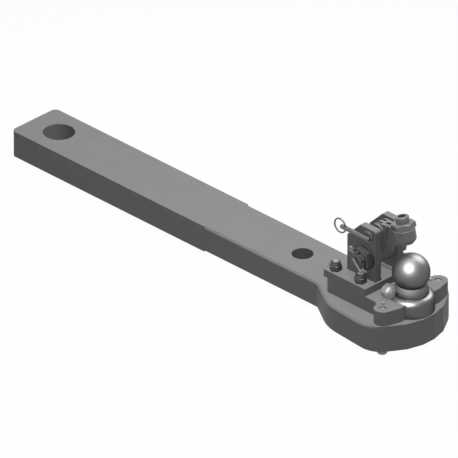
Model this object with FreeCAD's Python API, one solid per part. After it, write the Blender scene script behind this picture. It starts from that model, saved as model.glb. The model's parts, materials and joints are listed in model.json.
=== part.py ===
import FreeCAD, Part
import math
import os
from FreeCAD import Vector

# Tractor drawbar with an 80 mm coupling ball and a lockable hold-down arm.
# Millimetres. The origin is the rear pin bore's axis at the bar's mid-thickness,
# +X runs along the bar towards the ball, +Y is the bar's left and +Z is up.

# Drawbar
bar_width = 130.0
bar_thickness = 60.0
rear_overhang = 76.5            # rear bore axis to the rear end
rear_corner_radius = 12.0
rear_bore_d = 68.0
front_bore_x = 719.0
front_bore_d = 46.0
chamfer_start_x = 495.0         # behind this the bar keeps its full, sharp section
edge_chamfer = 4.0

# Head of the drawbar, set out from the ball's axis
ball_x = 1034.0
head_start = 208.0              # from the ball back to where the bar begins to widen
head_start_radius = 26.0
shoulder_back = 134.0
shoulder_half = 110.5
shoulder_radius = 115.0
cheek_back = 0.5
cheek_half = 121.0
cheek_radius = 57.0
nose_corner = (42.0, 53.0)      # forward of the ball, and half width, of the flats
nose_tip = (52.0, 16.7)

# Clamp block that holds the ball's flange down on the bar
block_height = 33.0
block_back = 177.0              # from the ball back to the block's rear face
block_half = 75.0
block_corner_radius = 15.0
block_front = 26.0
lug_half = 100.5
lug_back = 19.5
lug_front = 14.0
lug_corner_radius = 17.5
lug_fillet = 14.0
lug_flat_half = 58.0

# Coupling ball
ball_d = 80.0
ball_height = 86.0              # ball's centre above the bar's top
flange_d = 100.0
flange_wall = 24.0
shoulder_top = 38.5
neck_foot_d = 74.0
neck_waist_d = 60.0
shank_d = 50.0
shank_depth = 45.0

# Round plug that keys the ball's neck to the block
plug_d = 31.0
plug_length = 24.0
plug_back = 22.5                # plug's centre, behind and beside the ball's axis
plug_side = 42.0
plug_rise = 14.0                # plug's axis above the block's top
plug_turn = 6.0                 # degrees, from +X towards the right
plug_edge = 4.0
plug_ledge = 1.5
plug_dome = 3.0

# Lug bolts and dowels
lug_bolt_d = 14.0
lug_bolt_side = 82.0
lug_bolt_back = 2.0
lug_bolt_head_d = 21.0
lug_bolt_head = 14.0
lug_bolt_socket_af = 12.0
lug_bolt_socket = 7.0
lug_bolt_proud = -1.8
lug_bolt_sink_d = 16.5           # countersink at the top of the threaded hole
lug_bolt_sink = 1.25
dowel_d = 8.0
dowel_back = 12.0
dowel_side = 69.0
dowel_proud = 4.5
dowel_depth = 20.0              # how far the dowel enters the bar

# Bracket of the hold-down
plate_thickness = 17.0
plate_back = 179.0
plate_length = 120.0
ear_gap = 49.0
ear_thickness = 16.0
ear_height = 120.0
ear_behind_pivot = 52.0
ear_before_pivot = 30.0
ear_bevel = 37.0
ear_front_radius = 6.0
weld_leg = 5.0

# Bracket bolts
bolt_d = 16.0
bolt_af = 24.0
bolt_head = 10.0
bolt_side = 58.0
bolt_end_margin = 18.0          # rear bolts from the plate's rear edge
bolt_pitch = 72.0
nut_height = 18.0
nut_hex_height = 12.5
bolt_proud = 2.0
nut_collar_d = 22.5
nut_collar_round = 1.6
nut_recess_d = 19.5             # ring left free round the bolt by the insert
nut_recess = 2.0

# Pivot of the arm
pivot_back = 93.0               # from the ball back to the pivot's axis
pivot_rise = 50.0               # pivot's axis above the bracket plate
pivot_d = 30.0
pivot_af = 46.0
pivot_head = 18.5
washer_d = 56.0
washer_thickness = 4.0
castle_hex = 14.0
castle_crown = 8.0
castle_crown_d = 40.0
castle_slot = 6.5
pivot_proud = 2.0
split_pin_d = 5.0
split_pin_angle = 45.0          # degrees, leg end down from +X
split_pin_proud = 3.5
split_pin_bent = 8.0            # how far the bent leg reaches past the bolt's axis

# Hold-down arm
hub_d = 50.0
bush_wall = 4.0
bush_length = 17.0
bush_flange_d = 46.0
bush_flange = 2.0
eye_d = 40.0
web_half = 12.0
cheek_plate_half = 17.0
prong_gap = 6.0
rib_groove = 8.0
rib_groove_depth = 7.0
gusset_rise = 0.35              # gusset's root, as a share of the way from pivot to lock pin
gusset_root_r = 12.0
gusset_end_r = 8.0
side_rib_half = 17.0            # upright ribs on the neck, in front of the ears
side_rib_r = 4.5
side_rib_foot = (26.5, 20.0)    # from the pivot, forward and up
side_rib_top = (34.0, 75.0)
prong_reach = 10.0              # how far the upper prongs reach behind the lock pin's axis
head_lean = 13.0                # degrees, the head's axis leaning back
head_d = 47.0
head_round = 11.0               # rolled lower edge of the head
head_height = 31.0
spot_face_d = 52.0              # room milled on the head's top for the jam nut
coupler_gap = 25.0              # room left over the ball for a coupler's shell
neck_depth = 30.0

# Pressure spindle, jam nut and pad
spindle_d = 27.0
spindle_head_d = 29.5
spindle_head = 13.0
spindle_socket_af = 17.0
spindle_socket = 9.0
jam_nut_af = 46.0
jam_nut_height = 14.5
spindle_proud = 0.5             # thread left between jam nut and head
pad_d = 32.0
pad_thickness = 9.0
pad_proud = 1.0
pad_dish_radius = 60.0
spindle_nose_d = 16.0
spindle_nose = 5.0

# Lock pin, its handle rod and the ring
lock_ahead = 10.0               # lock pin's axis from the pivot, forward and up
lock_rise = 52.0
lock_d = 22.0
lock_collar_d = 27.0
lock_collar = 4.5
lock_end_proud = 3.5
rod_d = 10.0
rod_sink = 1.0                  # how deep the rod is let into the pin's collar
rod_behind = 71.0               # rod's ends from the lock pin's axis
rod_ahead = 11.0
ring_wire_d = 3.6
ring_outer_d = 35.0
ring_hole_margin = 12.5         # cross hole from the rod's rear end
ring_hole_d = 6.2

# Clearances
running_fit = 0.05
slide_fit = 0.1
moving_gap = 0.3
seat_gap = 0.2
bolt_clearance = 0.5
bolt_chamfer = 1.5

# Levels and places that follow from the sizes above
bar_top = bar_thickness / 2
bar_bottom = -bar_thickness / 2
block_top = bar_top + block_height
plate_top = block_top + plate_thickness
ball_centre = Vector(ball_x, 0, bar_top + ball_height)
pivot = Vector(ball_x - pivot_back, 0, plate_top + pivot_rise)
lock_axis = Vector(pivot.x + lock_ahead, 0, pivot.z + lock_rise)
ear_inner = ear_gap / 2
ear_outer = ear_inner + ear_thickness
lean = math.radians(head_lean)
head_axis = Vector(-math.sin(lean), 0, math.cos(lean))
head_bottom = ball_d / 2 + coupler_gap
head_top = head_bottom + head_height
along_y = Vector(0, 1, 0)
up = Vector(0, 0, 1)


def rounded_wire(corners, z):
    """Closed wire at height z through corners (x, y, radius)."""
    count = len(corners)
    joints = []
    for i in range(count):
        x, y, r = corners[i]
        here = Vector(x, y, z)
        before = Vector(corners[i - 1][0], corners[i - 1][1], z)
        after = Vector(corners[(i + 1) % count][0], corners[(i + 1) % count][1], z)
        a = (before - here).normalize()
        b = (after - here).normalize()
        if r <= 0:
            joints.append((here, None, here))
            continue
        half = a.getAngle(b) / 2
        run = r / math.tan(half)
        inward = (a + b).normalize()
        middle = here + inward * (r / math.sin(half) - r)
        joints.append((here + a * run, middle, here + b * run))
    edges = []
    for i in range(count):
        start, middle, end = joints[i]
        if middle is not None:
            edges.append(Part.Arc(start, middle, end).toShape())
        following = joints[(i + 1) % count][0]
        if (following - end).Length > 1e-6:
            edges.append(Part.LineSegment(end, following).toShape())
    return Part.Wire(edges)


def mirrored(half):
    """Corners of the left half, rear to front, closed with their mirror image."""
    return half + [(x, -y, r) for x, y, r in reversed(half)]


def prism(corners, z0, z1):
    return Part.Face(rounded_wire(corners, z0)).extrude(Vector(0, 0, z1 - z0))


def cylinder(d, start, direction, length):
    return Part.makeCylinder(d / 2, length, start, direction)


def block(x0, x1, y0, y1, z0, z1):
    return Part.makeBox(x1 - x0, y1 - y0, z1 - z0, Vector(x0, y0, z0))


def revolved(points, centre=Vector(0, 0, 0)):
    """Solid turned about Z from (radius, height) points; a point of three is an arc's middle."""
    edges = []
    corners = [p for p in points if len(p) == 2]
    start = Vector(points[0][0], 0, points[0][1])
    middle = None
    for p in points[1:] + [points[0]]:
        here = Vector(p[0], 0, p[1])
        if len(p) == 3:
            middle = here
            continue
        if middle is None:
            edges.append(Part.LineSegment(start, here).toShape())
        else:
            edges.append(Part.Arc(start, middle, here).toShape())
        start, middle = here, None
    assert len(edges) == len(corners)
    solid = Part.Face(Part.Wire(edges)).revolve(Vector(0, 0, 0), up, 360)
    solid.translate(centre)
    return solid


def placed(shape, point, direction, spin=0.0):
    """Stand a shape made along +Z on a point, along a direction."""
    shape.rotate(Vector(0, 0, 0), up, spin)
    turn = FreeCAD.Rotation(up, direction)
    shape.Placement = FreeCAD.Placement(point, turn).multiply(shape.Placement)
    return shape


def hexagon(af, height, top_chamfer=True, bottom_chamfer=True):
    """Hexagon along +Z with the usual 30 degree chamfer on its corners."""
    corner = af / math.sqrt(3)
    points = [Vector(corner * math.cos(k * math.pi / 3), corner * math.sin(k * math.pi / 3), 0)
              for k in range(7)]
    solid = Part.Face(Part.makePolygon(points)).extrude(Vector(0, 0, height))
    inset = corner - af * 0.475
    drop = inset * math.tan(math.radians(30))
    profile = [(0, 0)]
    profile += [(corner - inset, 0), (corner, drop)] if bottom_chamfer else [(corner, 0)]
    profile += [(corner, height - drop), (corner - inset, height)] if top_chamfer else [(corner, height)]
    profile += [(0, height)]
    return solid.common(revolved(profile))


def stud(d, length, chamfer):
    return revolved([(0, 0), (d / 2, 0), (d / 2, length - chamfer), (d / 2 - chamfer, length), (0, length)])


def hex_bolt(d, length, af, head):
    """Bolt along +Z: the head below its seat at zero, the shank above."""
    top = hexagon(af, head, top_chamfer=False)
    top.translate(Vector(0, 0, -head))
    return top.fuse(stud(d, length, bolt_chamfer)).removeSplitter()


def web_between(c1, r1, c2, r2, y0, y1):
    """Plate across Y whose outline wraps two circles in the X-Z plane."""
    span = Vector(c2.x - c1.x, 0, c2.z - c1.z)
    reach = span.Length
    along = math.atan2(span.z, span.x)
    opening = math.acos((r1 - r2) / reach)

    def rim(c, r, angle):
        return Vector(c.x + r * math.cos(angle), y0, c.z + r * math.sin(angle))

    a1, a2 = rim(c1, r1, along + opening), rim(c2, r2, along + opening)
    b1, b2 = rim(c1, r1, along - opening), rim(c2, r2, along - opening)
    edges = [Part.LineSegment(a1, a2).toShape(),
             Part.Arc(a2, rim(c2, r2, along), b2).toShape(),
             Part.LineSegment(b2, b1).toShape(),
             Part.Arc(b1, rim(c1, r1, along + math.pi), a1).toShape()]
    return Part.Face(Part.Wire(edges)).extrude(Vector(0, y1 - y0, 0))


def on_head(distance):
    """Point on the head's axis, at a distance from the ball's centre."""
    return ball_centre + head_axis * distance


def bolt_places():
    rear = ball_x - plate_back + bolt_end_margin
    return [(x, y) for x in (rear, rear + bolt_pitch) for y in (-bolt_side, bolt_side)]


def head_corners(inset):
    """Plan of the bar from the chamfer's start to the nose; inset trims its sides only."""
    side = bar_width / 2 - inset
    cheek = Vector(ball_x - cheek_back, cheek_half, 0)
    nose = Vector(ball_x + nose_corner[0], nose_corner[1], 0)
    facet = (cheek - nose).normalize()
    flank = (cheek - Vector(ball_x - shoulder_back, shoulder_half, 0)).normalize()
    slide = inset / abs(facet.cross(flank).z)
    cheek = cheek - facet * slide
    half = [(chamfer_start_x, side, 0),
            (ball_x - head_start + inset * 0.3, side, head_start_radius),
            (ball_x - shoulder_back + inset * 0.3, shoulder_half - inset, shoulder_radius),
            (cheek.x, cheek.y, cheek_radius - inset),
            (nose.x, nose.y, 0),
            (ball_x + nose_tip[0], nose_tip[1], 0)]
    return mirrored(half)


def ball_profile(clearance=0.0):
    """Flange and neck of the ball, from the bar's top up to the ball."""
    c = clearance
    foot, waist = neck_foot_d / 2, neck_waist_d / 2
    bulge = math.sqrt(0.5)
    mid_r = foot + (flange_d / 2 - foot) * bulge
    mid_z = flange_wall + (shoulder_top - flange_wall) * bulge
    joint = ball_height - math.sqrt((ball_d / 2) ** 2 - waist ** 2)
    return [(0, -c), (flange_d / 2 + c, -c), (flange_d / 2 + c, flange_wall),
            (mid_r + c, mid_z + c, 'arc'), (foot + c, shoulder_top + c),
            (foot - 1 + c, (shoulder_top + joint) / 2, 'arc'), (waist + c, joint)]


def plug_shape(grow=0.0):
    turn = math.radians(plug_turn)
    direction = Vector(math.cos(turn), -math.sin(turn), 0)
    centre = Vector(ball_x - plug_back, -plug_side, block_top + plug_rise)
    r, half = plug_d / 2 + grow, plug_length / 2 + grow
    edge = plug_edge
    rim = half - plug_dome
    foot = r - edge - plug_ledge
    rise = plug_dome / 2
    dome_r = (foot ** 2 + rise ** 2) / (2 * rise)
    half_way = math.asin(foot / dome_r) / 2
    crest = (dome_r * math.sin(half_way), half - dome_r + dome_r * math.cos(half_way), 'arc')
    body = revolved([(0, -half), (r - edge, -half), (r, -half + edge), (r, rim - edge), (r - edge, rim),
                     (foot, rim), (foot, half - rise), crest, (0, half)])
    return placed(body, centre, direction)


def drawbar():
    rear = [(-rear_overhang, bar_width / 2, rear_corner_radius),
            (chamfer_start_x, bar_width / 2, 0)]
    tail = prism(mirrored(rear), bar_bottom, bar_top)
    full, trimmed = head_corners(0), head_corners(edge_chamfer)
    body = prism(full, bar_bottom + edge_chamfer, bar_top - edge_chamfer)
    for side in (-1, 1):
        inner = side * (bar_top - edge_chamfer)
        outer = side * bar_top
        rim = Part.makeLoft([rounded_wire(full, inner), rounded_wire(trimmed, outer)], True, True)
        body = body.fuse(rim)
    body = tail.fuse(body).removeSplitter()
    body = body.cut(cylinder(rear_bore_d, Vector(0, 0, bar_bottom - 1), up, bar_thickness + 2))
    body = body.cut(cylinder(front_bore_d, Vector(front_bore_x, 0, bar_bottom - 1), up, bar_thickness + 2))
    body = body.cut(cylinder(shank_d + 2 * seat_gap, Vector(ball_x, 0, bar_top - shank_depth - 1), up,
                             shank_depth + 2))
    for x, y in bolt_places():
        body = body.cut(cylinder(bolt_d + 2 * bolt_clearance, Vector(x, y, bar_bottom - 1), up,
                                 bar_thickness + 2))
    for side in (-1, 1):
        at = Vector(ball_x - lug_bolt_back, side * lug_bolt_side, bar_bottom - 1)
        body = body.cut(cylinder(lug_bolt_d + 2 * bolt_clearance, at, up, bar_thickness + 2))
        at = Vector(ball_x - dowel_back, side * dowel_side, bar_top - dowel_depth)
        body = body.cut(cylinder(dowel_d, at, up, dowel_depth + 1))
    return body


def clamp_block():
    rear, front = ball_x - block_back, ball_x + block_front
    half = [(rear, block_half, block_corner_radius),
            (ball_x - lug_back, block_half, lug_fillet),
            (ball_x - lug_back, lug_half, lug_corner_radius),
            (ball_x + lug_front, lug_half, lug_corner_radius),
            (front, lug_flat_half, 3.0)]
    body = prism(mirrored(half), bar_top, block_top)
    flange = revolved(ball_profile(seat_gap) + [(0, ball_height)], Vector(ball_x, 0, bar_top))
    body = body.cut(flange)
    body = body.cut(plug_shape(seat_gap))
    for x, y in bolt_places():
        body = body.cut(cylinder(bolt_d + 2 * bolt_clearance, Vector(x, y, bar_top - 1), up,
                                 block_height + 2))
    for side in (-1, 1):
        at = Vector(ball_x - lug_bolt_back, side * lug_bolt_side, bar_top - 1)
        body = body.cut(cylinder(lug_bolt_d + 2 * seat_gap, at, up, block_height + 2))
        at.z = block_top - lug_bolt_sink
        body = body.cut(lug_bolt_countersink(at))
        at = Vector(ball_x - dowel_back, side * dowel_side, bar_top - 1)
        body = body.cut(cylinder(dowel_d, at, up, block_height + 2))
    return body


def lug_bolt_countersink(at):
    inner, outer = lug_bolt_d / 2 + seat_gap, lug_bolt_sink_d / 2
    return revolved([(0, 0), (inner, 0), (outer, lug_bolt_sink), (0, lug_bolt_sink)], at)


def coupling_ball():
    profile = ball_profile()
    joint = profile[-1]
    start = math.atan2(joint[1] - ball_height, joint[0])
    middle = (start + math.pi / 2) / 2
    r = ball_d / 2
    profile += [(r * math.cos(middle), ball_height + r * math.sin(middle), 'arc'),
                (0, ball_height + r)]
    body = revolved(profile, Vector(ball_x, 0, bar_top))
    shank = revolved([(0, 0), (shank_d / 2, 0), (shank_d / 2, -shank_depth + 2),
                      (shank_d / 2 - 2, -shank_depth), (0, -shank_depth)], Vector(ball_x, 0, bar_top))
    return body.fuse(shank).removeSplitter().cut(plug_shape(seat_gap))


def lug_bolt(side):
    """Socket screw from below, its head under the bar and its end in the lug's top."""
    r = lug_bolt_head_d / 2
    length = bar_thickness + block_height + lug_bolt_proud
    head = revolved([(0, -lug_bolt_head), (r - 1, -lug_bolt_head), (r, 1 - lug_bolt_head), (r, 0), (0, 0)])
    socket = hexagon(lug_bolt_socket_af, lug_bolt_socket + 1, False, False)
    socket.translate(Vector(0, 0, -lug_bolt_head - 1))
    bolt = head.fuse(stud(lug_bolt_d, length, bolt_chamfer)).removeSplitter().cut(socket)
    return placed(bolt, Vector(ball_x - lug_bolt_back, side * lug_bolt_side, bar_bottom), up, 15)


def dowel(side):
    length = dowel_depth + block_height + dowel_proud
    at = Vector(ball_x - dowel_back, side * dowel_side, bar_top - dowel_depth)
    return placed(stud(dowel_d, length, 0.8), at, up)


def bracket_plate():
    rear = ball_x - plate_back
    body = block(rear, rear + plate_length, -block_half, block_half, block_top, plate_top)
    for x, y in bolt_places():
        body = body.cut(cylinder(bolt_d + 2 * bolt_clearance, Vector(x, y, block_top - 1), up,
                                 plate_thickness + 2))
    return body


def ear(side):
    """Upright lug of the bracket, with the rear top corner cut off."""
    x0, x1 = pivot.x - ear_behind_pivot, pivot.x + ear_before_pivot
    z0, z1 = plate_top, plate_top + ear_height
    y = ear_inner if side > 0 else -ear_outer
    corners = [(x0, z0, 0), (x0, z1 - ear_bevel, 0), (x0 + ear_bevel, z1, 0), (x1, z1, ear_front_radius),
               (x1, z0, 0)]
    face = Part.Face(rounded_wire(corners, 0))
    face.rotate(Vector(0, 0, 0), Vector(1, 0, 0), 90)
    body = face.extrude(Vector(0, ear_thickness, 0))
    body.translate(Vector(0, y, 0))
    through = ear_thickness + 2
    body = body.cut(cylinder(pivot_d + 2 * seat_gap, Vector(pivot.x, y - 1, pivot.z), along_y, through))
    return body.cut(cylinder(lock_d + 2 * slide_fit, Vector(lock_axis.x, y - 1, lock_axis.z), along_y, through))


def ear_welds():
    """Fillet welds along the inner foot of each ear."""
    x0, x1 = pivot.x - ear_behind_pivot, pivot.x + ear_before_pivot
    beads = []
    for side in (-1, 1):
        foot = side * ear_inner
        points = [Vector(x0, foot, plate_top), Vector(x0, foot - side * weld_leg, plate_top),
                  Vector(x0, foot, plate_top + weld_leg), Vector(x0, foot, plate_top)]
        beads.append(Part.Face(Part.makePolygon(points)).extrude(Vector(x1 - x0, 0, 0)))
    return Part.makeCompound(beads)


def bracket_bolt(x, y):
    length = bar_thickness + block_height + plate_thickness + nut_height + bolt_proud
    return placed(hex_bolt(bolt_d, length, bolt_af, bolt_head), Vector(x, y, bar_bottom), up, 30)


def bracket_nut(x, y):
    """Locking nut: a hexagon with a round collar for its insert."""
    body = hexagon(bolt_af, nut_hex_height, bottom_chamfer=False)
    r, edge = nut_collar_d / 2, nut_collar_round
    bulge = edge * (1 - math.sqrt(0.5))
    body = body.fuse(revolved([(0, nut_hex_height - 1), (r, nut_hex_height - 1), (r, nut_height - edge),
                               (r - bulge, nut_height - bulge, 'arc'), (r - edge, nut_height),
                               (0, nut_height)]))
    body = body.removeSplitter().cut(cylinder(bolt_d + 2 * slide_fit, Vector(0, 0, -1), up, nut_height + 2))
    body = body.cut(cylinder(nut_recess_d, Vector(0, 0, nut_height - nut_recess), up, nut_recess + 1))
    return placed(body, Vector(x, y, plate_top), up, 30)


def pivot_end():
    """How far the pivot bolt's end lies to the right of the part's middle."""
    return ear_outer + washer_thickness + castle_hex + castle_crown + pivot_proud


def pivot_bolt():
    """Hex head against the left ear, end beyond the castle nut on the right."""
    length = ear_outer + pivot_end()
    bolt = placed(hex_bolt(pivot_d, length, pivot_af, pivot_head), Vector(pivot.x, ear_outer, pivot.z),
                  Vector(0, -1, 0), 30)
    return bolt.cut(split_pin_shank(slide_fit))


def split_pin_shank(grow=0.0):
    angle = math.radians(-split_pin_angle)
    direction = Vector(math.cos(angle), 0, math.sin(angle))
    reach = castle_crown_d / 2 + split_pin_proud
    start = split_pin_place() - direction * reach
    return cylinder(split_pin_d + 2 * grow, start - direction * grow, direction, 2 * (reach + grow))


def split_pin_place():
    y = -(ear_outer + washer_thickness + castle_hex + castle_crown / 2)
    return Vector(pivot.x, y, pivot.z)


def split_pin():
    """Shank through bolt and nut, an eye behind, one leg bent over the bolt's end, one cut short."""
    angle = math.radians(-split_pin_angle)
    direction = Vector(math.cos(angle), 0, math.sin(angle))
    reach = castle_crown_d / 2 + split_pin_proud
    wire = split_pin_d * 0.45
    eye_r = split_pin_d * 0.9
    eye = split_pin_place() - direction * (reach + eye_r)
    tail = split_pin_place() + direction * reach
    over = Vector(tail.x, -pivot_end() - wire - slide_fit, tail.z)
    body = split_pin_shank().fuse(Part.makeTorus(eye_r, wire, eye, along_y))
    rise = cylinder(2 * wire, tail, Vector(0, -1, 0), tail.y - over.y)
    leg = cylinder(2 * wire, over, -direction, reach + split_pin_bent)
    body = body.fuse([Part.makeSphere(wire, tail), rise, Part.makeSphere(wire, over), leg])
    stub = (direction + along_y * 0.6).normalize()
    return body.fuse(Part.makeCylinder(wire, split_pin_d * 1.5, tail, stub))


def pivot_washer():
    start = Vector(pivot.x, -ear_outer - washer_thickness, pivot.z)
    body = cylinder(washer_d, start, along_y, washer_thickness)
    return body.cut(cylinder(pivot_d + 2 * seat_gap, start - along_y, along_y, washer_thickness + 2))


def castle_nut():
    height = castle_hex + castle_crown
    body = hexagon(pivot_af, castle_hex, bottom_chamfer=False)
    crown = revolved([(0, castle_hex - 1), (castle_crown_d / 2, castle_hex - 1),
                      (castle_crown_d / 2, height - 1), (castle_crown_d / 2 - 1, height), (0, height)])
    body = body.fuse(crown).removeSplitter()
    body = body.cut(cylinder(pivot_d + 2 * slide_fit, Vector(0, 0, -1), up, height + 2))
    slot = block(-castle_crown_d, castle_crown_d, -castle_slot / 2, castle_slot / 2,
                 castle_hex + castle_crown / 2 - castle_slot / 2, height + 1)
    for k in range(3):
        cutter = slot.copy()
        cutter.rotate(Vector(0, 0, 0), up, 30 + 60 * k)
        body = body.cut(cutter)
    seat = Vector(pivot.x, -ear_outer - washer_thickness, pivot.z)
    return placed(body, seat, Vector(0, -1, 0), castle_spin())


def castle_spin():
    """Spin that lines a slot up with the split pin."""
    turn = FreeCAD.Rotation(up, Vector(0, -1, 0))
    angle = math.radians(-split_pin_angle)
    local = turn.inverted().multVec(Vector(math.cos(angle), 0, math.sin(angle)))
    return math.degrees(math.atan2(local.y, local.x)) - 30


def pin_slot():
    """Slot for the lock pin, curved about the pivot and open towards the rear."""
    radius = math.hypot(lock_ahead, lock_rise)
    half = lock_d / 2 + moving_gap
    width = 2 * cheek_plate_half + 2
    start = Vector(pivot.x, -width / 2, pivot.z)
    ring = cylinder(2 * (radius + half), start, along_y, width)
    ring = ring.cut(cylinder(2 * (radius - half), start, along_y, width))
    behind = block(-200, 0, -width, width, 0, 200)
    angle = math.degrees(math.atan2(lock_ahead, lock_rise))
    behind.rotate(Vector(0, 0, 0), along_y, angle)
    behind.translate(pivot)
    sector = ring.common(behind)
    return sector.fuse(cylinder(2 * half, Vector(lock_axis.x, -width / 2, lock_axis.z), along_y, width))


def hold_down_arm():
    """Cast arm: hub on the pivot, eye prongs round the lock pin, neck and round head."""
    hub_half = ear_inner - moving_gap - bush_flange
    middle = on_head(head_bottom + head_height / 2)
    neck_r = neck_depth / 2
    eye_r = eye_d / 2
    core = web_between(pivot, hub_d / 2, lock_axis, eye_r, -web_half, web_half)
    core = core.fuse(web_between(lock_axis, eye_r, middle, neck_r, -web_half, web_half))
    root = pivot + (lock_axis - pivot) * gusset_rise
    tip = on_head(head_bottom + gusset_end_r + pad_proud)
    core = core.fuse(web_between(root, gusset_root_r, tip, gusset_end_r, -web_half, web_half))
    plate_r = hub_d / 2 - 2
    for side in (-1, 1):
        y0, y1 = sorted((side * (web_half - 1), side * cheek_plate_half))
        core = core.fuse(web_between(pivot, plate_r, lock_axis, eye_r - 1.5, y0, y1))
        y0, y1 = sorted((side * (web_half - 1), side * side_rib_half))
        core = core.fuse(web_between(pivot + Vector(side_rib_foot[0], 0, side_rib_foot[1]), side_rib_r,
                                     pivot + Vector(side_rib_top[0], 0, side_rib_top[1]), side_rib_r, y0, y1))
    hub = cylinder(hub_d, Vector(pivot.x, -hub_half, pivot.z), along_y, 2 * hub_half)
    head = placed(head_casting(), on_head(head_bottom), head_axis)
    arm = core.fuse([hub, head]).removeSplitter()
    arm = arm.cut(cylinder(spot_face_d, on_head(head_top), head_axis, 2 * head_height))
    arm = arm.cut(top_groove())
    for side in (-1, 1):
        y0, y1 = sorted((side * prong_inner(), side * (prong_inner() + prong_gap)))
        arm = arm.cut(block(pivot.x - hub_d, lock_axis.x + lock_d / 4, y0, y1, pivot.z + hub_d / 2 + 3,
                            lock_axis.z + eye_d))
    arm = arm.cut(pin_slot())
    tail = block(pivot.x - hub_d, lock_axis.x - prong_reach, -hub_half, hub_half,
                 lock_axis.z + moving_gap, lock_axis.z + eye_d)
    arm = arm.cut(tail)
    bore = pivot_d + 2 * bush_wall
    arm = arm.cut(cylinder(bore, Vector(pivot.x, -hub_half - 1, pivot.z), along_y, 2 * hub_half + 2))
    arm = arm.cut(cylinder(spindle_d + 2 * slide_fit, on_head(head_bottom - 1), head_axis, head_height + 2))
    pocket_depth = pad_thickness - pad_proud
    return arm.cut(cylinder(pad_d + 2 * seat_gap, on_head(head_bottom - 1), head_axis, pocket_depth + 1))


def prong_inner():
    return cheek_plate_half - 2 * prong_gap - 1.5


def head_casting():
    """Round head with a rolled lower edge and a flat spot face on top."""
    r, round_r = head_d / 2, head_round
    bulge = round_r * (1 - math.sqrt(0.5))
    return revolved([(0, 0), (r - round_r, 0), (r - bulge, bulge, 'arc'), (r, round_r),
                     (r, head_height - 1.5), (r - 1.5, head_height), (0, head_height)])


def top_groove():
    """Groove that leaves two ribs on top of the neck, from the lock pin to the head."""
    rear = lock_axis.x + lock_d / 2 + moving_gap
    front = on_head(head_top).x - head_d / 2
    floor = lock_axis.z + eye_d / 2 - rib_groove_depth
    return block(rear, front, -rib_groove / 2, rib_groove / 2, floor, floor + head_d)


def pivot_bush(side):
    """Flanged bush in one end of the hub."""
    hub_half = ear_inner - moving_gap - bush_flange
    outer, bore = pivot_d + 2 * bush_wall, pivot_d + 2 * running_fit
    sleeve = cylinder(outer, Vector(0, 0, 0), up, bush_length)
    flange = cylinder(bush_flange_d, Vector(0, 0, -bush_flange), up, bush_flange)
    body = sleeve.fuse(flange).removeSplitter()
    body = body.cut(cylinder(bore, Vector(0, 0, -bush_flange - 1), up, bush_length + bush_flange + 2))
    return placed(body, Vector(pivot.x, side * hub_half, pivot.z), Vector(0, -side, 0))


def pressure_pad():
    """Disc in the head's counterbore, dished to bear on a coupler's shell."""
    r = pad_d / 2
    dish = pad_dish_radius - math.sqrt(pad_dish_radius ** 2 - (r - 3) ** 2)
    hole = spindle_nose_d / 2 + seat_gap
    mid = pad_dish_radius - math.sqrt(pad_dish_radius ** 2 - (r / 2) ** 2)
    body = revolved([(0, dish), ((r - 3) / 2, dish - mid * 0.8, 'arc'), (r - 3, 0), (r, 0), (r, pad_thickness),
                     (hole, pad_thickness), (hole, pad_thickness - spindle_nose),
                     (0, pad_thickness - spindle_nose)])
    return placed(body, on_head(head_bottom - pad_proud), head_axis)


def pressure_spindle():
    """Threaded spindle: nose in the pad, round head with a hexagon socket above the jam nut."""
    seat = pad_thickness - pad_proud
    thread = head_height - seat + jam_nut_height + spindle_proud
    top = thread + spindle_head
    r, edge = spindle_head_d / 2, bolt_chamfer
    body = revolved([(0, 0), (spindle_d / 2 - edge, 0), (spindle_d / 2, edge), (spindle_d / 2, thread),
                     (r - 1, thread), (r, thread + 1), (r, top - edge), (r - edge, top), (0, top)])
    nose = cylinder(spindle_nose_d, Vector(0, 0, seat_gap - spindle_nose), up, spindle_nose)
    socket = hexagon(spindle_socket_af, spindle_socket + 1, False, False)
    socket.translate(Vector(0, 0, top - spindle_socket))
    body = body.fuse(nose).removeSplitter().cut(socket)
    return placed(body, on_head(head_bottom + seat), head_axis, 15)


def jam_nut():
    body = hexagon(jam_nut_af, jam_nut_height)
    body = body.cut(cylinder(spindle_d + 2 * slide_fit, Vector(0, 0, -1), up, jam_nut_height + 2))
    return placed(body, on_head(head_top), head_axis, 45)


def rod_centre():
    y = -(ear_outer + moving_gap + lock_collar) - rod_d / 2 + rod_sink
    return Vector(lock_axis.x, y, lock_axis.z)


def lock_pin():
    """Pin through both ears, with a collar that stops against the right ear."""
    face = ear_outer + moving_gap
    length = face + ear_outer + lock_end_proud
    body = stud(lock_d, length, bolt_chamfer)
    collar = revolved([(0, -lock_collar), (lock_collar_d / 2 - 1, -lock_collar),
                       (lock_collar_d / 2, 1 - lock_collar), (lock_collar_d / 2, 0), (0, 0)])
    body = placed(body.fuse(collar).removeSplitter(), Vector(lock_axis.x, -face, lock_axis.z), along_y)
    return body.cut(rod_blank(running_fit))


def rod_blank(grow=0.0):
    start = rod_centre() - Vector(rod_behind + grow, 0, 0)
    r, edge = rod_d / 2 + grow, 1.0
    length = rod_behind + rod_ahead + 2 * grow
    body = revolved([(0, 0), (r - edge, 0), (r, edge), (r, length - edge), (r - edge, length), (0, length)])
    return placed(body, start, Vector(1, 0, 0))


def ring_hole_place():
    return rod_centre() - Vector(rod_behind - ring_hole_margin, 0, 0)


def handle_rod():
    start = ring_hole_place() - Vector(0, 0, rod_d)
    return rod_blank().cut(cylinder(ring_hole_d, start, up, 2 * rod_d))


def pull_ring():
    """Round wire ring through the rod's cross hole, standing out along the rod."""
    major = (ring_outer_d - ring_wire_d) / 2
    return Part.makeTorus(major, ring_wire_d / 2, ring_hole_place() - Vector(major, 0, 0), along_y)


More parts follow.
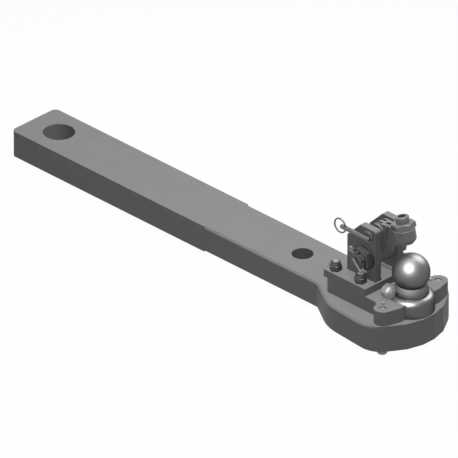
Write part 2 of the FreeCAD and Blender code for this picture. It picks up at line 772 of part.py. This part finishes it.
def all_parts():
    parts = {
        "drawbar": drawbar(),
        "clamp_block": clamp_block(),
        "coupling_ball": coupling_ball(),
        "ball_lock_plug": plug_shape(),
        "bracket_plate": bracket_plate(),
        "right_ear": ear(-1),
        "left_ear": ear(1),
        "ear_welds": ear_welds(),
        "pivot_bolt": pivot_bolt(),
        "pivot_washer": pivot_washer(),
        "castle_nut": castle_nut(),
        "split_pin": split_pin(),
        "hold_down_arm": hold_down_arm(),
        "pressure_pad": pressure_pad(),
        "pressure_spindle": pressure_spindle(),
        "jam_nut": jam_nut(),
        "lock_pin": lock_pin(),
        "handle_rod": handle_rod(),
        "pull_ring": pull_ring(),
    }
    for name, side in (("right", -1), ("left", 1)):
        parts[name + "_lug_bolt"] = lug_bolt(side)
        parts[name + "_dowel"] = dowel(side)
        parts[name + "_pivot_bush"] = pivot_bush(side)
    for i, (x, y) in enumerate(bolt_places(), 1):
        parts["bracket_bolt_%d" % i] = bracket_bolt(x, y)
        parts["bracket_nut_%d" % i] = bracket_nut(x, y)
    return parts


def main():
    os.makedirs("parts", exist_ok=True)
    for name, shape in all_parts().items():
        shape.exportStep("parts/%s.step" % name)
        box = shape.BoundBox
        print("%-18s solids %d valid %s volume %.0f  X %.1f..%.1f Y %.1f..%.1f Z %.1f..%.1f" % (
            name, len(shape.Solids), shape.isValid(), shape.Volume, box.XMin, box.XMax, box.YMin, box.YMax,
            box.ZMin, box.ZMax))


main()
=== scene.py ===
import bpy
import json
import math
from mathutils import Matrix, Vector


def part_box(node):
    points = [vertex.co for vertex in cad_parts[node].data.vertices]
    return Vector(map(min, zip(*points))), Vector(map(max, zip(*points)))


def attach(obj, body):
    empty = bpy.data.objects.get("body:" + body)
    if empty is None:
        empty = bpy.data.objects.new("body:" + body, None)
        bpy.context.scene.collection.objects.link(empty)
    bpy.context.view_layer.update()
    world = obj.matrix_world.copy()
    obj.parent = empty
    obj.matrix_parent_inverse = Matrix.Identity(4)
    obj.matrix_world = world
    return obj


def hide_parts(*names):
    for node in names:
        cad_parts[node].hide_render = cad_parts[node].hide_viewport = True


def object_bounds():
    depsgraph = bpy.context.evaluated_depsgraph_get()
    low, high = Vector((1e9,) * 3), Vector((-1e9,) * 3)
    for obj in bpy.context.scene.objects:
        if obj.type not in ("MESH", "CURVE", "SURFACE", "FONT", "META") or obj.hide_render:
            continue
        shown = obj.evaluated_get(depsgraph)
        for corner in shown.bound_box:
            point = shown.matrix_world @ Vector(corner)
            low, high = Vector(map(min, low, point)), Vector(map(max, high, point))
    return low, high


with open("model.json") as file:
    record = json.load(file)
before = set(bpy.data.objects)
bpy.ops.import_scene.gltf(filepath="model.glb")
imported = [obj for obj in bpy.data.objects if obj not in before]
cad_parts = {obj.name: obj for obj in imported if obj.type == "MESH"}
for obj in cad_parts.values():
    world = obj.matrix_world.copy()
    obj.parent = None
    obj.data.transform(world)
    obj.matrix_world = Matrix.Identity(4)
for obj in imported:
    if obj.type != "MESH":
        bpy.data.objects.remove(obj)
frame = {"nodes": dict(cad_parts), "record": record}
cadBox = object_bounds()
print("frame loaded:", len(frame["nodes"]), "nodes")

# The photograph is a parallel view, so the lens is very long
cameraSetup = {
    "aim": (0.5023, 0.0013, -0.0001),
    "azimuth": 45.0,
    "elevation": 30.0,
    "frameWidth": 0.9522,
    "lens": 1500.0,
    "sensor": 36.0,
    "clipShare": 3,               # the far clip, as a multiple of the distance
}

stageSetup = {
    "size": 24.0,
    "centreX": 0.5,
    "floorRough": 0.9,
    "floorSeen": 0.90,            # the floor's grey as the camera sees it
    "floorBounce": 0.29,          # and as it lights the part from below
    "whiteShare": 0.93,           # how much of the floor's look is plain white
    "ambient": 0.18,              # the world's light on the part
}

# Soft light from above and from the viewer's side, two lamps for the ball's highlights and one
# for the plug's. Those three light only their piece and send nothing on
middle = (0.80, 0.0, 0.05)
ballMiddle = (1.034, 0.0, 0.116)
lampSetup = {
    "topLight": {"target": middle, "toward": (0.0, 0.0, 1.0), "away": 3.0, "size": 2.0, "watts": 16.0},
    "topFill": {"target": middle, "toward": (0.0, 0.0, 1.0), "away": 3.0, "size": 1.2, "watts": 70.0,
                "shadow": False},
    "sideFill": {"target": middle, "toward": (0.60, -0.64, 0.28), "away": 3.0, "size": 1.5, "watts": 5.5,
                 "shadow": False},
    "ballLight": {"target": ballMiddle, "toward": (0.279, -0.610, 0.741), "away": 1.2, "size": 0.32,
                  "watts": 86.0, "only": ["coupling_ball"]},
    "rimLight": {"target": ballMiddle, "toward": (-0.092, 0.781, 0.618), "away": 1.2, "size": 0.9,
                 "watts": 28.0, "shadow": False, "only": ["coupling_ball"]},
    "plugLight": {"target": ballMiddle, "toward": (0.76, -0.37, 0.48), "away": 1.2, "size": 1.6,
                  "watts": 20.0, "shadow": False, "only": ["ball_lock_plug"]},
}


def deselectAll():
    for thing in bpy.context.selected_objects:
        thing.select_set(False)
    bpy.context.view_layer.objects.active = None


def pickOnly(thing):
    deselectAll()
    thing.select_set(True)
    bpy.context.view_layer.objects.active = thing


def placeCamera(setup):
    azimuth, elevation = math.radians(setup["azimuth"]), math.radians(setup["elevation"])
    back = Vector((math.cos(elevation) * math.sin(azimuth), -math.cos(elevation) * math.cos(azimuth),
                   math.sin(elevation)))
    distance = setup["frameWidth"] * setup["lens"] / setup["sensor"]
    bpy.ops.object.camera_add(location=Vector(setup["aim"]) + back * distance,
                              rotation=back.to_track_quat("Z", "Y").to_euler())
    camera = bpy.context.object
    camera.name = "photoCamera"
    camera.data.lens = setup["lens"]
    camera.data.sensor_width = setup["sensor"]
    camera.data.clip_end = distance * setup["clipShare"]
    bpy.context.scene.camera = camera
    print("camera at", round(distance, 2), "m")


def placeLamps(setup):
    for name, lamp in setup.items():
        toward = Vector(lamp["toward"]).normalized()
        bpy.ops.object.light_add(type="AREA", location=Vector(lamp["target"]) + toward * lamp["away"],
                                 rotation=toward.to_track_quat("Z", "Y").to_euler())
        light = bpy.context.object
        light.name = name
        light.data.shape = "DISK"
        light.data.size = lamp["size"]
        light.data.energy = lamp["watts"]
        light.data.use_shadow = lamp.get("shadow", True)
        if "only" in lamp:
            light.data.cycles.max_bounces = 0
            lit = bpy.data.collections.new(name + "Pieces")
            for node in lamp["only"]:
                lit.objects.link(frame["nodes"][node])
            light.light_linking.receiver_collection = lit
    print("lamps:", len(setup))


def mathNode(nodes, links, operation, first, second):
    node = nodes.new("ShaderNodeMath")
    node.operation = operation
    for socket, value in zip(node.inputs, (first, second)):
        if isinstance(value, (int, float)):
            socket.default_value = value
        else:
            links.new(value, socket)
    return node.outputs[0]


def seenDirectly(nodes, links):
    path = nodes.new("ShaderNodeLightPath")
    glossy = mathNode(nodes, links, "MAXIMUM", path.outputs["Is Camera Ray"], path.outputs["Is Glossy Ray"])
    return mathNode(nodes, links, "MAXIMUM", glossy, path.outputs["Is Transmission Ray"])


def paintWorld(setup):
    world = bpy.data.worlds.new("studioWorld")
    world.use_nodes = True
    nodes, links = world.node_tree.nodes, world.node_tree.links
    background = nodes["Background"]
    background.inputs["Color"].default_value = (1.0, 1.0, 1.0, 1.0)
    strength = nodes.new("ShaderNodeMapRange")
    strength.inputs["To Min"].default_value = setup["ambient"]
    strength.inputs["To Max"].default_value = 1.0
    links.new(seenDirectly(nodes, links), strength.inputs["Value"])
    links.new(strength.outputs["Result"], background.inputs["Strength"])
    bpy.context.scene.world = world


def layFloor(setup, height):
    deselectAll()
    bpy.ops.mesh.primitive_plane_add(size=setup["size"])
    floor = bpy.context.object
    floor.name = "studioFloor"
    floor.location = (setup["centreX"], 0.0, height)
    bpy.ops.object.transform_apply(location=True, rotation=True, scale=True)
    paint = bpy.data.materials.new("floorPaint")
    paint.use_nodes = True
    nodes, links = paint.node_tree.nodes, paint.node_tree.links
    surface = nodes["Principled BSDF"]
    surface.inputs["Roughness"].default_value = setup["floorRough"]
    surface.inputs["Specular IOR Level"].default_value = 0.0
    seen = seenDirectly(nodes, links)
    grey = nodes.new("ShaderNodeMapRange")
    grey.inputs["To Min"].default_value = setup["floorBounce"]
    grey.inputs["To Max"].default_value = setup["floorSeen"]
    links.new(seen, grey.inputs["Value"])
    links.new(grey.outputs["Result"], surface.inputs["Base Color"])
    white = nodes.new("ShaderNodeEmission")
    white.inputs["Color"].default_value = (1.0, 1.0, 1.0, 1.0)
    mix = nodes.new("ShaderNodeMixShader")
    links.new(mathNode(nodes, links, "MULTIPLY", seen, setup["whiteShare"]), mix.inputs["Fac"])
    links.new(surface.outputs[0], mix.inputs[1])
    links.new(white.outputs[0], mix.inputs[2])
    links.new(mix.outputs[0], nodes["Material Output"].inputs["Surface"])
    floor.data.materials.append(paint)
    print("floor at", round(height, 4))


# What all finishes share
grainSetup = {
    "cloudDetail": 4.0,
    "grainDetail": 3.0,
    "sheenSpread": 0.06,          # how far the grain moves the roughness, up and down
    "edgeSamples": 6,
    "upward": 0.9,                # a normal above this looks straight up
}

# One entry for each finish: colour, how shiny it is, the grain that it shows and the soft edge
finishes = {
    "barSteel": {"colour": 0.250, "metal": 0.0, "gloss": 0.10, "rough": 0.58, "mottle": 0.06,
                 "mottleScale": 22.0, "grainScale": 420.0, "grainDepth": 0.00010, "edge": 0.0010},
    "forgedBlock": {"colour": 0.247, "metal": 0.0, "gloss": 0.10, "rough": 0.58, "mottle": 0.07,
                    "mottleScale": 45.0, "grainScale": 420.0, "grainDepth": 0.00012, "edge": 0.0009},
    "castArm": {"colour": 0.235, "metal": 0.0, "gloss": 0.30, "rough": 0.45, "mottle": 0.09,
                "mottleScale": 70.0, "grainScale": 380.0, "grainDepth": 0.00035, "edge": 0.0010},
    "darkFastener": {"colour": 0.095, "metal": 0.35, "gloss": 0.40, "rough": 0.42, "mottle": 0.16,
                     "mottleScale": 420.0, "grainScale": 1100.0, "grainDepth": 0.00006, "edge": 0.0004},
    "boltSteel": {"colour": 0.110, "endColour": 0.34, "metal": 0.30, "gloss": 0.40, "rough": 0.40,
                  "mottle": 0.14, "mottleScale": 420.0, "grainScale": 1100.0, "grainDepth": 0.00005,
                  "edge": 0.0003},
    "spindleSteel": {"colour": 0.190, "metal": 0.30, "gloss": 0.40, "rough": 0.40, "mottle": 0.12,
                     "mottleScale": 420.0, "grainScale": 1100.0, "grainDepth": 0.00005, "edge": 0.0004},
    "stubSteel": {"colour": 0.300, "metal": 0.20, "gloss": 0.40, "rough": 0.42, "mottle": 0.10,
                  "mottleScale": 420.0, "grainScale": 1100.0, "grainDepth": 0.00004, "edge": 0.0003},
    "brightSteel": {"colour": 0.170, "metal": 0.55, "gloss": 0.40, "rough": 0.38, "mottle": 0.10,
                    "mottleScale": 300.0, "grainScale": 1500.0, "grainDepth": 0.00003, "edge": 0.0004},
    "pinSteel": {"colour": 0.420, "metal": 0.40, "gloss": 0.50, "rough": 0.32, "mottle": 0.08,
                 "mottleScale": 300.0, "grainScale": 1500.0, "grainDepth": 0.00002, "edge": 0.0003},
    "plugSteel": {"colour": 0.280, "metal": 0.40, "gloss": 0.50, "rough": 0.24, "mottle": 0.06,
                  "mottleScale": 240.0, "grainScale": 1500.0, "grainDepth": 0.00001, "edge": 0.0003},
    "bronze": {"colour": 0.330, "tint": (1.27, 0.88, 0.42), "metal": 0.9, "gloss": 0.50, "rough": 0.35,
               "mottle": 0.08, "mottleScale": 200.0, "grainScale": 1200.0, "grainDepth": 0.00003,
               "edge": 0.0004},
}

# The ball is polished; its neck and flange keep the marks of the lathe. The neck's darker colour is painted
# shade, the shade under the ball
ballFinish = {
    "axis": (1.034, 0.0, 0.0),
    "reach": 0.200,               # height at the top of the scale of zones
    "zones": [                    # from this height up: colour, roughness and share of the lathe's marks
        {"name": "flange", "from": 0.0, "colour": 0.090, "rough": 0.40, "marks": 1.0},
        # the neck's darker colour is painted shade under the ball
        {"name": "neck", "from": 0.0790, "colour": 0.062, "rough": 0.75, "marks": 1.0},
        {"name": "ball", "from": 0.0895, "colour": 0.104, "rough": 0.44, "marks": 0.12},
    ],
    "edgeTint": 0.35,
    "markScale": 260.0,
    "markWobble": 0.6,
    "markDepth": 0.0000080,
    "edge": 0.0008,
}


def softEdge(nodes, radius):
    edge = nodes.new("ShaderNodeBevel")
    edge.samples = grainSetup["edgeSamples"]
    edge.inputs["Radius"].default_value = radius
    return edge.outputs["Normal"]


# A bolt's end, the faces that look straight up, is lighter by this much
def brightEnd(nodes, links, place, tone, lighter):
    facing = nodes.new("ShaderNodeSeparateXYZ")
    links.new(place.outputs["Normal"], facing.inputs[0])
    gain = nodes.new("ShaderNodeMapRange")
    gain.inputs["To Min"].default_value = 1.0
    gain.inputs["To Max"].default_value = lighter
    upward = mathNode(nodes, links, "GREATER_THAN", facing.outputs["Z"], grainSetup["upward"])
    links.new(upward, gain.inputs["Value"])
    return mathNode(nodes, links, "MULTIPLY", tone, gain.outputs["Result"])


def makeFinish(name, look):
    paint = bpy.data.materials.new(name)
    paint.use_nodes = True
    nodes, links = paint.node_tree.nodes, paint.node_tree.links
    surface = nodes["Principled BSDF"]
    surface.inputs["Metallic"].default_value = look["metal"]
    surface.inputs["Specular IOR Level"].default_value = look["gloss"]
    place = nodes.new("ShaderNodeTexCoord")
    cloud = nodes.new("ShaderNodeTexNoise")
    cloud.inputs["Scale"].default_value = look["mottleScale"]
    cloud.inputs["Detail"].default_value = grainSetup["cloudDetail"]
    links.new(place.outputs["Object"], cloud.inputs["Vector"])
    tone = nodes.new("ShaderNodeMapRange")
    tone.inputs["To Min"].default_value = 1.0 - look["mottle"]
    tone.inputs["To Max"].default_value = 1.0 + look["mottle"]
    links.new(cloud.outputs["Fac"], tone.inputs["Value"])
    tone = tone.outputs["Result"]
    if "endColour" in look:
        tone = brightEnd(nodes, links, place, tone, look["endColour"] / look["colour"])
    colour = nodes.new("ShaderNodeVectorMath")
    colour.operation = "SCALE"
    colour.inputs[0].default_value = [look["colour"] * share for share in look.get("tint", (1.0, 1.0, 1.0))]
    links.new(tone, colour.inputs["Scale"])
    links.new(colour.outputs[0], surface.inputs["Base Color"])
    grain = nodes.new("ShaderNodeTexNoise")
    grain.inputs["Scale"].default_value = look["grainScale"]
    grain.inputs["Detail"].default_value = grainSetup["grainDetail"]
    links.new(place.outputs["Object"], grain.inputs["Vector"])
    sheen = nodes.new("ShaderNodeMapRange")
    sheen.inputs["To Min"].default_value = look["rough"] - grainSetup["sheenSpread"]
    sheen.inputs["To Max"].default_value = look["rough"] + grainSetup["sheenSpread"]
    links.new(grain.outputs["Fac"], sheen.inputs["Value"])
    links.new(sheen.outputs["Result"], surface.inputs["Roughness"])
    bump = nodes.new("ShaderNodeBump")
    bump.inputs["Strength"].default_value = 1.0
    bump.inputs["Distance"].default_value = look["grainDepth"]
    links.new(grain.outputs["Fac"], bump.inputs["Height"])
    links.new(softEdge(nodes, look["edge"]), bump.inputs["Normal"])
    links.new(bump.outputs["Normal"], surface.inputs["Normal"])
    return paint


# Rings on the flat faces and bands up the round ones, as a turning tool leaves them
def latheMarks(nodes, links, place, look, share):
    centre = nodes.new("ShaderNodeMapping")
    centre.inputs["Location"].default_value = [-along for along in look["axis"]]
    links.new(place, centre.inputs["Vector"])
    rings = nodes.new("ShaderNodeTexWave")
    rings.wave_type = "RINGS"
    rings.rings_direction = "Z"
    bands = nodes.new("ShaderNodeTexWave")
    bands.wave_type = "BANDS"
    bands.bands_direction = "Z"
    for marks in (rings, bands):
        marks.inputs["Scale"].default_value = look["markScale"]
        marks.inputs["Distortion"].default_value = look["markWobble"]
        links.new(centre.outputs["Vector"], marks.inputs["Vector"])
    both = mathNode(nodes, links, "ADD", rings.outputs["Fac"], bands.outputs["Fac"])
    height = mathNode(nodes, links, "MULTIPLY", both, share)
    bump = nodes.new("ShaderNodeBump")
    bump.inputs["Strength"].default_value = 1.0
    bump.inputs["Distance"].default_value = look["markDepth"]
    links.new(height, bump.inputs["Height"])
    links.new(softEdge(nodes, look["edge"]), bump.inputs["Normal"])
    return bump.outputs["Normal"]


# One value of the ball's look, in steps by height
def byZone(nodes, links, height, look, value):
    ramp = nodes.new("ShaderNodeValToRGB")
    ramp.color_ramp.interpolation = "CONSTANT"
    steps = ramp.color_ramp.elements
    while len(steps) < len(look["zones"]):
        steps.new(0.5)
    for step, zone in zip(steps, look["zones"]):
        step.position = zone["from"] / look["reach"]
        step.color = (zone[value],) * 3 + (1.0,)
    links.new(height, ramp.inputs["Fac"])
    return ramp.outputs["Color"]


def makeBallFinish(name, look):
    paint = bpy.data.materials.new(name)
    paint.use_nodes = True
    nodes, links = paint.node_tree.nodes, paint.node_tree.links
    surface = nodes["Principled BSDF"]
    surface.inputs["Metallic"].default_value = 1.0
    surface.inputs["Specular Tint"].default_value = (look["edgeTint"],) * 3 + (1.0,)
    place = nodes.new("ShaderNodeTexCoord")
    parts = nodes.new("ShaderNodeSeparateXYZ")
    links.new(place.outputs["Object"], parts.inputs[0])
    height = mathNode(nodes, links, "DIVIDE", parts.outputs["Z"], look["reach"])
    links.new(byZone(nodes, links, height, look, "colour"), surface.inputs["Base Color"])
    links.new(byZone(nodes, links, height, look, "rough"), surface.inputs["Roughness"])
    marks = byZone(nodes, links, height, look, "marks")
    links.new(latheMarks(nodes, links, place.outputs["Object"], look, marks), surface.inputs["Normal"])
    return paint


def dressNode(node, paint):
    slots = frame["nodes"][node].data.materials
    slots.clear()
    slots.append(paint)


# A weld bead laid in short steps in the corner between each ear and its plate
weldSetup = {
    "leg": 0.0050,
    "step": 0.0023,
    "ripple": 0.0023,             # half the length of one ripple along the bead
    "segments": 20,
    "rings": 12,
    "voxel": 0.00035,
    "smoothRounds": 2,
    "merge": 0.000002,
    "smoothAngle": 40.0,
}


def makeWeldBeads(setup, paint):
    low, high = (Vector(corner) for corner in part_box("ear_welds"))
    start, end = low.x + setup["ripple"], high.x - setup["ripple"]
    count = int((end - start) / setup["step"]) + 1
    radius = setup["leg"]
    deselectAll()
    beads = []
    for side, wall in ((-1, low.y), (1, high.y)):
        bpy.ops.mesh.primitive_uv_sphere_add(segments=setup["segments"], ring_count=setup["rings"],
                                             radius=radius, location=(start, wall, low.z))
        bead = bpy.context.object
        bead.scale = (setup["ripple"] / radius, 1.0, 1.0)
        bpy.ops.object.transform_apply(location=True, rotation=True, scale=True)
        row = bead.modifiers.new("row", "ARRAY")
        row.use_relative_offset = False
        row.use_constant_offset = True
        row.constant_offset_displace = ((end - start) / (count - 1), 0.0, 0.0)
        row.count = count
        skin = bead.modifiers.new("skin", "REMESH")
        skin.mode = "VOXEL"
        skin.voxel_size = setup["voxel"]
        soft = bead.modifiers.new("soft", "SMOOTH")
        soft.iterations = setup["smoothRounds"]
        pickOnly(bead)
        for step in ("row", "skin", "soft"):
            bpy.ops.object.modifier_apply(modifier=step)
        trimToCorner(bead, side, wall, low.z, setup["merge"])
        beads.append(bead)
    pickOnly(beads[0])
    beads[1].select_set(True)
    bpy.ops.object.join()
    both = bpy.context.object
    both.name = "earWeldBeads"
    bpy.ops.object.shade_smooth_by_angle(angle=math.radians(setup["smoothAngle"]))
    both.data.materials.clear()
    both.data.materials.append(paint)
    return both


# Cuts off what lies inside the ear and the plate, and closes the bead there
def trimToCorner(bead, side, wall, floor, merge):
    pickOnly(bead)
    bpy.ops.object.mode_set(mode="EDIT")
    for point, away in (((0.0, wall, 0.0), (0.0, side, 0.0)), ((0.0, 0.0, floor), (0.0, 0.0, -1.0))):
        bpy.ops.mesh.select_all(action="SELECT")
        bpy.ops.mesh.bisect(plane_co=point, plane_no=away, use_fill=True, clear_outer=True, threshold=merge)
    bpy.ops.mesh.select_all(action="SELECT")
    bpy.ops.mesh.remove_doubles(threshold=merge)
    bpy.ops.mesh.fill_holes(sides=0)
    bpy.ops.mesh.normals_make_consistent(inside=False)
    bpy.ops.object.mode_set(mode="OBJECT")


# The thread that shows where a bracket bolt stands out of its nut
threadSetup = {
    "boltRadius": 0.0080,
    "pitch": 0.0020,
    "turns": 2,
    "steps": 32,                  # steps in one turn
    "sides": 8,                   # sides of the ridge's section
    "rootInside": 0.00045,        # how far the ridge's middle lies inside the bolt's skin
    "high": 0.00060,
    "wide": 0.00078,
    "below": 0.00055,             # the last turn ends this far under the bolt's end
    "smoothAngle": 50.0,
}
bracketBolts = range(1, 5)


def makeThread(name, setup, bolt, paint):
    low, high = (Vector(corner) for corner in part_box(bolt))
    axis = (low + high) / 2.0
    radius = setup["boltRadius"] - setup["rootInside"]
    start = high.z - setup["below"] - setup["pitch"] * setup["turns"]
    deselectAll()
    bpy.ops.mesh.primitive_circle_add(vertices=setup["sides"], radius=1.0, fill_type="NOTHING",
                                      location=(radius, 0.0, 0.0), rotation=(math.radians(90.0), 0.0, 0.0))
    ridge = bpy.context.object
    ridge.name = name
    ridge.scale = (setup["high"], setup["wide"], 1.0)
    bpy.ops.object.transform_apply(location=True, rotation=True, scale=True)
    turn = ridge.modifiers.new("turn", "SCREW")
    turn.axis = "Z"
    turn.screw_offset = setup["pitch"]
    turn.iterations = setup["turns"]
    turn.steps = setup["steps"]
    turn.render_steps = setup["steps"]
    bpy.ops.object.modifier_apply(modifier="turn")
    bpy.ops.object.mode_set(mode="EDIT")
    bpy.ops.mesh.select_all(action="DESELECT")
    bpy.ops.mesh.select_non_manifold(extend=False)
    bpy.ops.mesh.edge_face_add()
    bpy.ops.mesh.select_all(action="SELECT")
    bpy.ops.mesh.normals_make_consistent(inside=False)
    bpy.ops.object.mode_set(mode="OBJECT")
    ridge.location = (axis.x, axis.y, start)
    bpy.ops.object.transform_apply(location=True, rotation=True, scale=True)
    bpy.ops.object.shade_smooth_by_angle(angle=math.radians(setup["smoothAngle"]))
    ridge.data.materials.append(paint)
    return ridge


placeCamera(cameraSetup)
paintWorld(stageSetup)
placeLamps(lampSetup)
layFloor(stageSetup, cadBox[0][2])

paints = {name: makeFinish(name, look) for name, look in finishes.items()}
paints["ballSteel"] = makeBallFinish("ballSteel", ballFinish)
slotPaints = {
    "bar_steel": "barSteel",
    "forged_block": "forgedBlock",
    "ball_steel": "ballSteel",
    "dark_fastener": "darkFastener",
    "bright_steel": "brightSteel",
    "cast_arm": "castArm",
    "bronze": "bronze",
}
for subpart in frame["record"]["subparts"]:
    dressNode(subpart["node"], paints[slotPaints[subpart["material_slot"]]])
# These pieces don't look like the rest of their slot
ownPaints = {"ball_lock_plug": "plugSteel", "right_dowel": "pinSteel", "left_dowel": "pinSteel",
             "right_lug_bolt": "stubSteel", "left_lug_bolt": "stubSteel", "split_pin": "stubSteel",
             "pressure_spindle": "spindleSteel", "jam_nut": "spindleSteel"}
ownPaints.update({"bracket_bolt_%d" % index: "boltSteel" for index in bracketBolts})
for node, paint in ownPaints.items():
    dressNode(node, paints[paint])
print("finishes:", len(paints))

beads = makeWeldBeads(weldSetup, paints["forgedBlock"])
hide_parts("ear_welds")
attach(beads, "frame")
for index in bracketBolts:
    ridge = makeThread("boltThread%d" % index, threadSetup, "bracket_bolt_%d" % index,
                       paints["darkFastener"])
    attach(ridge, "frame")
print("welds and threads made")

bpy.context.scene.view_settings.view_transform = "Standard"
bpy.context.view_layer.update()
